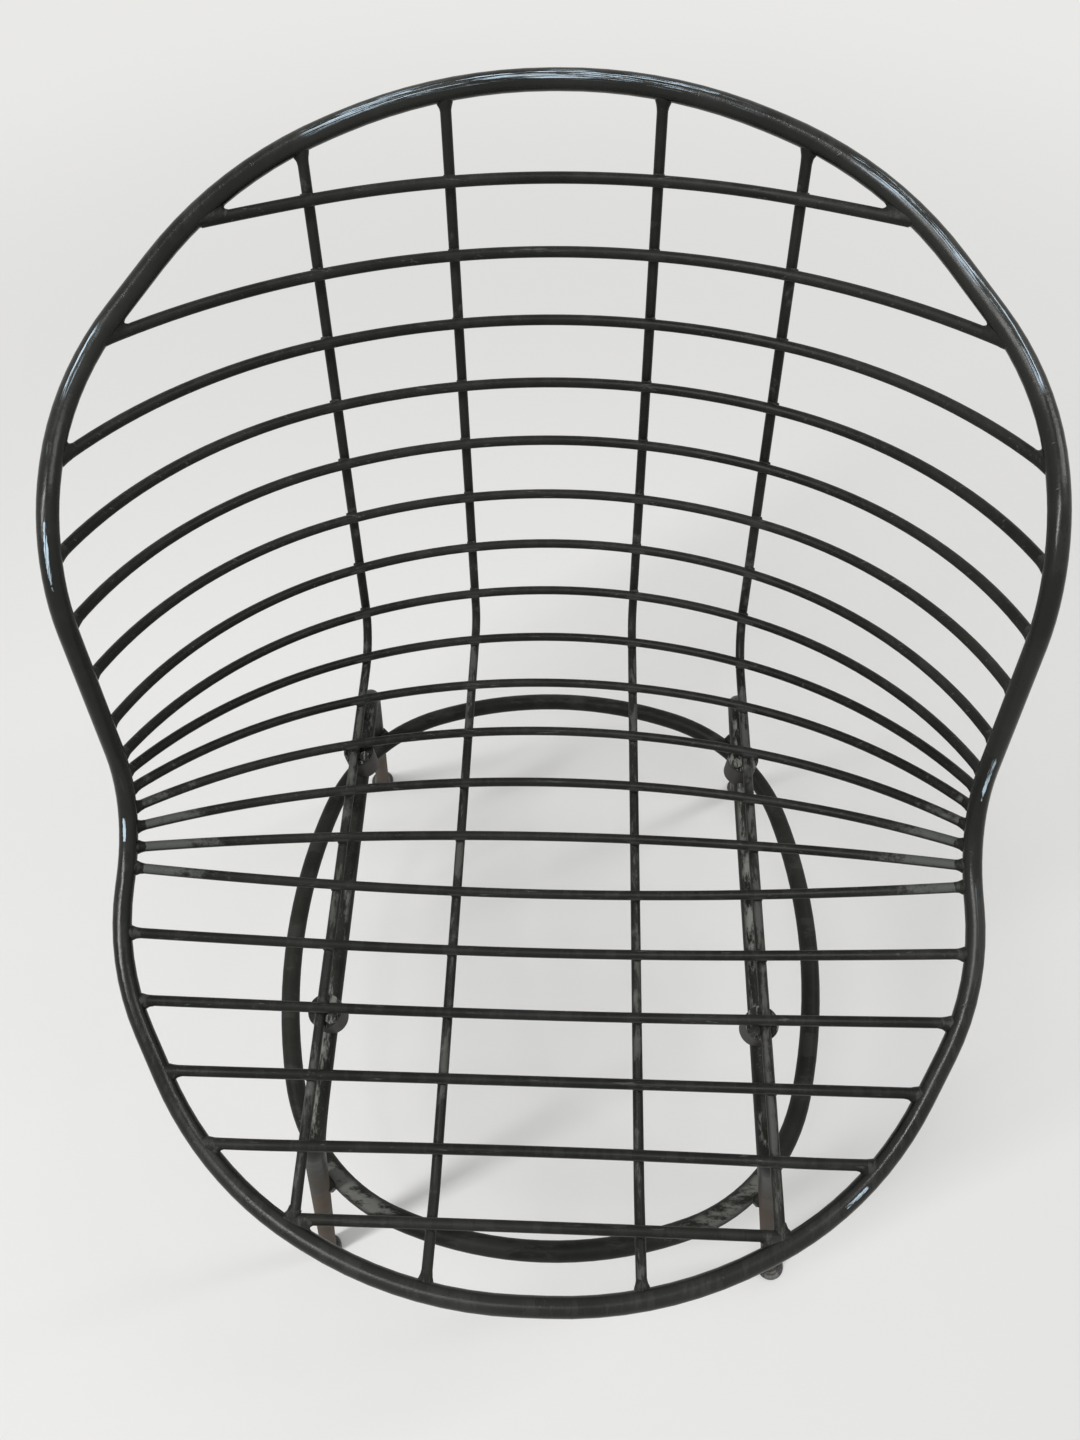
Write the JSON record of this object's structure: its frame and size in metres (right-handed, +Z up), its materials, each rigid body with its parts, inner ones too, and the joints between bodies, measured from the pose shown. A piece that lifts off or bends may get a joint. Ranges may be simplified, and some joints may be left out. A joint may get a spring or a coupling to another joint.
{
  "type": "wrought iron armchair",
  "caption": "Low open armchair: a bucket seat of bent round bars, welded to a rim and carried on splayed tube legs with a base ring and glides.",
  "frame": {"origin": "on the floor, under the middle of the chair's bounding box", "axes": "+X to the right seen from the front, +Y towards the back, +Z up"},
  "size_m": [0.5266, 0.6096, 0.7475],
  "materials": {
    "rim_paint": "worn dark satin paint, scuffed along its outer edge",
    "rod_paint": "dark satin paint, dusty at the crossings",
    "base_paint": "dark satin paint with dust on top",
    "plate_paint": "dark paint under thick dust",
    "spacer_rubber": "black, matte",
    "glide_plastic": "black, scuffed",
    "bolt_steel": "dark paint, dusty"
  },
  "bodies": {
    "root": {"rim": "rim_paint", "base_ring": "base_paint", "mount_bolts": "bolt_steel", "cross_rod_01": "rod_paint", "cross_rod_02": "rod_paint", "cross_rod_03": "rod_paint", "cross_rod_04": "rod_paint", "cross_rod_05": "rod_paint", "cross_rod_06": "rod_paint", "cross_rod_07": "rod_paint", "cross_rod_08": "rod_paint", "cross_rod_09": "rod_paint", "cross_rod_10": "rod_paint", "cross_rod_11": "rod_paint", "cross_rod_12": "rod_paint", "cross_rod_13": "rod_paint", "cross_rod_14": "rod_paint", "cross_rod_15": "rod_paint", "cross_rod_16": "rod_paint", "cross_rod_17": "rod_paint", "cross_rod_18": "rod_paint", "cross_rod_19": "rod_paint", "inner_rod_left": "rod_paint", "inner_rod_right": "rod_paint", "outer_rod_left": "rod_paint", "outer_rod_right": "rod_paint", "leg_frame_left": "base_paint", "leg_frame_right": "base_paint", "plate_front_left": "plate_paint", "spacer_front_left": "spacer_rubber", "glide_front_left": "glide_plastic", "plate_front_right": "plate_paint", "spacer_front_right": "spacer_rubber", "glide_front_right": "glide_plastic", "plate_rear_left": "plate_paint", "spacer_rear_left": "spacer_rubber", "glide_rear_left": "glide_plastic", "plate_rear_right": "plate_paint", "spacer_rear_right": "spacer_rubber", "glide_rear_right": "glide_plastic"}
  },
  "joints": []
}
